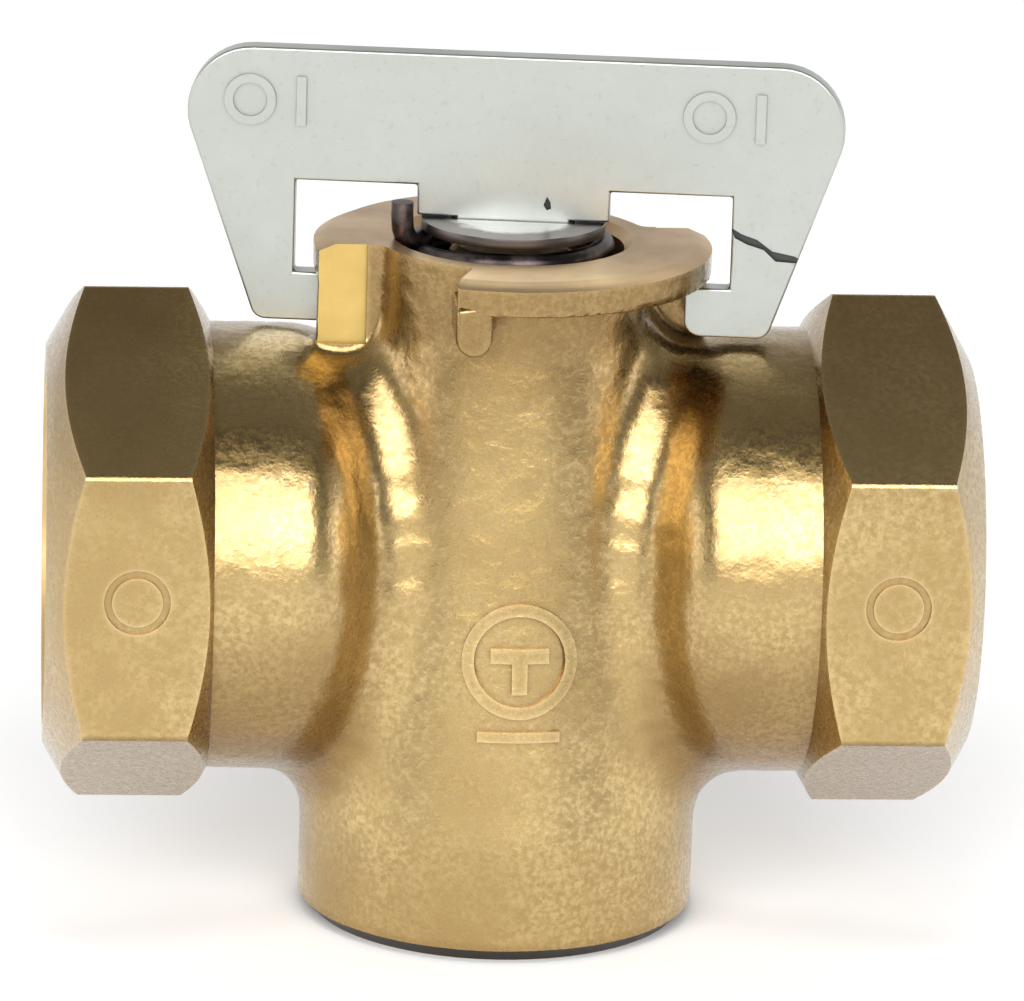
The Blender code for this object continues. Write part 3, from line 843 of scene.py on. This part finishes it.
def cut_upright(body):
    """Facing, spring pocket, taper seat and the threaded bottom port."""
    thread = BOTTOM_THREAD
    depth = thread["depth"]
    cone = (thread["minor"] - FLOW_RADIUS) * 0.6
    mouth = thread["major"] - thread["minor"] + 0.2
    relief = thread["major"] + 0.1
    rim = COLLAR_RADIUS + 1.2
    outline = [(0.0, -4.0), (BOSS_RADIUS + 4.0, -4.0), (BOSS_RADIUS + 4.0, 4.8),
               (BOSS_RADIUS - 0.8, 0.0), (thread["major"] + 0.2, 0.0),
               (thread["minor"], mouth), (thread["minor"], depth - 1.9),
               (relief, depth - 1.3), (relief, depth - 0.2), (thread["minor"], depth),
               (FLOW_RADIUS, depth + cone), (FLOW_RADIUS, SEAT_BOTTOM - 0.6),
               (5.0, SEAT_BOTTOM - 0.6), (5.0, SEAT_BOTTOM), (6.3, SEAT_TOP),
               (POCKET_RADIUS, SEAT_TOP), (POCKET_RADIUS, BODY_TOP - 0.5),
               (POCKET_RADIUS + 0.5, BODY_TOP), (COLLAR_CROWN, BODY_TOP),
               (rim, BODY_TOP - (rim - COLLAR_CROWN) * 0.45), (rim, BODY_TOP + 4.5),
               (0.0, BODY_TOP + 4.5)]
    lower = turned("upright_bore", outline, steps=128, finish=FACED)
    join_solid(body, lower, "DIFFERENCE")
    rod = threaded_rod("thread", thread, -0.8, depth - 0.9)
    rod.data.materials.append(MACHINED)
    join_solid(body, rod, "DIFFERENCE")


def ring_across(name, centre_x, centre_z, outer, inner, start_y, reach, finish):
    """A flat ring whose axis runs along Y, from start_y for a reach, in millimetres."""
    outline = [(inner, 0.0), (outer, 0.0), (outer, reach), (inner, reach), (inner, 0.0)]
    ring = turned(name, outline, steps=64, finish=finish)
    ring.rotation_euler = (math.radians(90), 0.0, 0.0)
    ring.location = (centre_x * MM, start_y * MM, centre_z * MM)
    settle(ring)
    return ring


def block_across(name, low, high, start_y, reach, finish):
    """A bar between two (x, z) corners, from start_y for a reach towards the front."""
    outline = [(low[0], start_y, low[1]), (high[0], start_y, low[1]),
               (high[0], start_y, high[1]), (low[0], start_y, high[1])]
    return prism(name, outline, (0, -reach, 0), finish=finish)


def flow_mark(body):
    """A raised ring with a T of three flow ways, which follows the barrel's curve."""
    x, z, start, reach = FLOW_MARK_X, FLOW_MARK_Z, -6.0, 9.0
    bars = {"mark_line": ((x - 1.7, z - 0.1), (x + 1.7, z + 0.75)),
            "mark_branch": ((x - 0.45, z - 1.9), (x + 0.45, z + 0.3)),
            "mark_foot": ((x - 2.4, z - 4.7), (x + 2.4, z - 4.1))}
    parts = [ring_across("mark_ring", x, z, FLOW_RING_OUTER, FLOW_RING_INNER, start, reach,
                         FORGED)]
    for name, (low, high) in bars.items():
        parts.append(block_across(name, low, high, start, reach, FORGED))
    for part in parts:
        skin = turned("mark_skin", barrel_outline(grow=FLOW_MARK_RELIEF), steps=160,
                      finish=FORGED)
        join_solid(part, skin, "INTERSECT")
        join_solid(body, part, "UNION")


def hexagon_marks(body):
    """A shallow ring sunk into the front flat of each hexagon."""
    for side in (-1, 1):
        ring = ring_across("hexagon_mark", side * (HALF_LENGTH - HEX_WIDTH / 2 - 0.3),
                           PORT_HEIGHT + 0.4, HEX_RING_OUTER, HEX_RING_INNER,
                           -HEX_FLATS / 2 + HEX_RING_DEPTH, 1.0, FORGED)
        join_solid(body, ring, "DIFFERENCE")


def valve_body():
    """The forging, built up from its core, softened, and then machined."""
    core = turned("barrel_core", barrel_outline(), steps=96)
    for side in (-1, 1):
        join_solid(core, neck_core(side), "UNION")
    remesh(core, COARSE_SKIN, 2)
    fill_hollows(core, HOLLOW_RADIUS)
    for turn in (0, 1):
        join_solid(core, collar_wing(turn), "UNION")
        join_solid(core, line_lug(turn), "UNION")
    remesh(core, FINE_SKIN, 4)
    roughen(core, SKIN_RELIEF, SKIN_LUMP)
    core.data.materials.clear()
    core.data.materials.append(FORGED)
    for turn in (0, 1):
        join_solid(core, front_lug(turn), "UNION")
    for side in (-1, 1):
        join_solid(core, hexagon(side), "UNION")
    flow_mark(core)
    hexagon_marks(core)
    for turn in (0, 1):
        mill_line_lug(core, turn)
    for side in (-1, 1):
        cut_line_port(core, side)
    cut_upright(core)
    core.name = "valve_body_forging"
    flat_faces(core, 32)
    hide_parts("valve_body")
    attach(core, "valve_body")
    return core


# ---- handle -------------------------------------------------------------------------------
def turn_with_handle(piece):
    """Swing a piece drawn along X to the handle's rest angle."""
    piece.rotation_euler = (0, 0, HANDLE_ANGLE)
    settle(piece)


def plate_half():
    """Right half of the handle plate's outline, from the top middle round to the key."""
    slope = math.degrees(math.atan2(PLATE_WIDEST_HEIGHT - TOE_BOTTOM,
                                    PLATE_HALF_WIDTH - FOOT_OUTER))
    outline = arc((PLATE_HALF_WIDTH - PLATE_CORNER_RADIUS, PLATE_TOP - PLATE_CORNER_RADIUS),
                  PLATE_CORNER_RADIUS, 90, slope - 90, 12)
    outline += arc((FOOT_OUTER - 1.0, TOE_BOTTOM + 0.9), 0.9, slope - 90, -90, 6)
    outline += arc((TOE_INNER + 1.0, TOE_BOTTOM + 1.0), 1.0, 270, 180, 6)
    outline += arc((TOE_INNER + 0.35, TOE_TOP - 0.35), 0.35, 180, 90, 3)
    outline += [(WINDOW_OUTER, TOE_TOP), (WINDOW_OUTER, WINDOW_TOP),
                (WINDOW_INNER, WINDOW_TOP), (WINDOW_INNER, SHOULDER_HEIGHT),
                (KEY_HALF_WIDTH, SHOULDER_HEIGHT), (KEY_HALF_WIDTH, KEY_BOTTOM)]
    return outline


def plate_marks(plate):
    """Raised position marks near both upper corners: a ring and a bar."""
    buried = 0.3
    start, reach = -PLATE_HALF_THICKNESS + buried, buried + PLATE_MARK_RELIEF
    low, high = PLATE_RING_HEIGHT - 1.45, PLATE_RING_HEIGHT + 1.45
    for middle in (-13.9, 12.7):
        ring = ring_across("plate_ring", middle - 1.5, PLATE_RING_HEIGHT, PLATE_RING_OUTER,
                           PLATE_RING_INNER, start, reach, SHEET)
        join_solid(plate, ring, "UNION")
        bar = block_across("plate_bar", (middle + 1.2, low), (middle + 1.75, high), start,
                           reach, SHEET)
        join_solid(plate, bar, "UNION")


def plate_scars(plate):
    """The crease across the right leg and the nick in the tongue, cut as grooves whose
    near-black finish is painted shade.
    """
    floor = -PLATE_HALF_THICKNESS + SCAR_DEPTH
    crease = [(12.6, 41.95), (13.3, 41.55), (14.2, 41.25), (15.1, 40.6), (16.4, 40.35),
              (17.2, 39.9), (16.3, 39.95), (15.3, 40.0), (14.6, 40.65), (13.6, 40.95),
              (12.9, 41.3)]
    nick = [(1.75, 42.8), (1.95, 43.3), (2.15, 43.0), (2.2, 42.6), (1.95, 42.5)]
    for name, outline in (("crease", crease), ("nick", nick)):
        groove = prism(name, [(x, floor, z) for x, z in outline], (0, -1.0, 0), finish=GROOVE_SHADE)
        join_solid(plate, groove, "DIFFERENCE")


def handle_plate():
    """Punched sheet-steel handle with softened edges."""
    right = plate_half()
    outline = right + [(-across, height) for across, height in reversed(right)]
    plate = prism("handle_sheet", [(x, -PLATE_HALF_THICKNESS, z) for x, z in outline],
                  (0, 2 * PLATE_HALF_THICKNESS, 0), finish=SHEET)
    soften(plate, 0.16, segments=3, angle=40)
    plate_marks(plate)
    plate_scars(plate)
    turn_with_handle(plate)
    flat_faces(plate, 40)
    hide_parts("handle_plate")
    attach(plate, "handle")
    return plate


def cap_washer():
    """Slotted washer that the handle's tongue presses on."""
    low, high, radius = CAP_LOW.z / MM, CAP_HIGH.z / MM, CAP_HIGH.x / MM
    disc = turned("slotted_cap", [(0.0, low), (radius, low), (radius, high), (0.0, high)],
                  steps=96, finish=WASHER)
    along, across = CAP_SLOT_HALF_LENGTH, CAP_SLOT_HALF_WIDTH
    slot = prism("slot", [(-along, -across, low - 1), (along, -across, low - 1),
                          (along, across, low - 1), (-along, across, low - 1)], (0, 0, 3))
    turn_with_handle(slot)
    join_solid(disc, slot, "DIFFERENCE")
    soften(disc, 0.12)
    flat_faces(disc, 35)
    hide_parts("cap_washer")
    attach(disc, "handle")
    return disc


def spring_points():
    """Centre line of the spring, coil and upturned tail, in millimetres."""
    turns, per_turn, radius = SPRING_TURNS, 32, SPRING_RADIUS
    low, high = SPRING_LOW, SPRING_HIGH
    end = math.radians(SPRING_END) + HANDLE_ANGLE
    steps = round(turns * per_turn)
    points = []
    for step in range(steps + 1):
        part = step / steps
        rise = min(max((part * turns - 0.8) / (turns - 1.6), 0.0), 1.0)
        rise += 0.04 * (part - rise)
        angle = end - math.tau * turns * (1 - part)
        points.append(Vector((radius * math.cos(angle), radius * math.sin(angle),
                              low + (high - low) * rise)))
    outward = Vector((math.cos(end), math.sin(end), 0))
    along = Vector((-outward.y, outward.x, 0))
    for out, forward, rise in ((5.6, 0.5, -0.03), (5.9, 0.9, 0.05), (6.25, 1.2, 0.5),
                               (6.4, 1.3, 0.95), (6.45, 1.4, 1.75), (6.45, 1.4, 2.55)):
        points.append(outward * out + along * forward + Vector((0, 0, high + rise)))
    return points


def plug_spring():
    """Round wire swept along the spring's centre line."""
    path = bpy.data.curves.new("spring_wire", "CURVE")
    path.dimensions = "3D"
    path.bevel_depth = WIRE_RADIUS * MM
    path.bevel_resolution = 5
    path.use_fill_caps = True
    spline = path.splines.new("POLY")
    points = spring_points()
    spline.points.add(len(points) - 1)
    for knot, point in zip(spline.points, points):
        knot.co = (*(point * MM), 1.0)
    wire = bpy.data.objects.new("spring_wire", path)
    bpy.context.scene.collection.objects.link(wire)
    select_only(wire)
    bpy.ops.object.convert(target="MESH")
    wire = bpy.context.object
    wire.data.materials.clear()
    wire.data.materials.append(WIRE)
    smooth_shade(wire, 40)
    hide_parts("plug_spring")
    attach(wire, "plug")
    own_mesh(wire)
    return wire


def dress_cad_node(name, finish):
    """Give a carried-over node its procedural finish."""
    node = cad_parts[name]
    node.data.materials.clear()
    node.data.materials.append(finish)


valve_body()
handle_plate()
cap_washer()
plug_spring()
dress_cad_node("taper_plug", MACHINED)
dress_cad_node("seat_washer", WASHER)
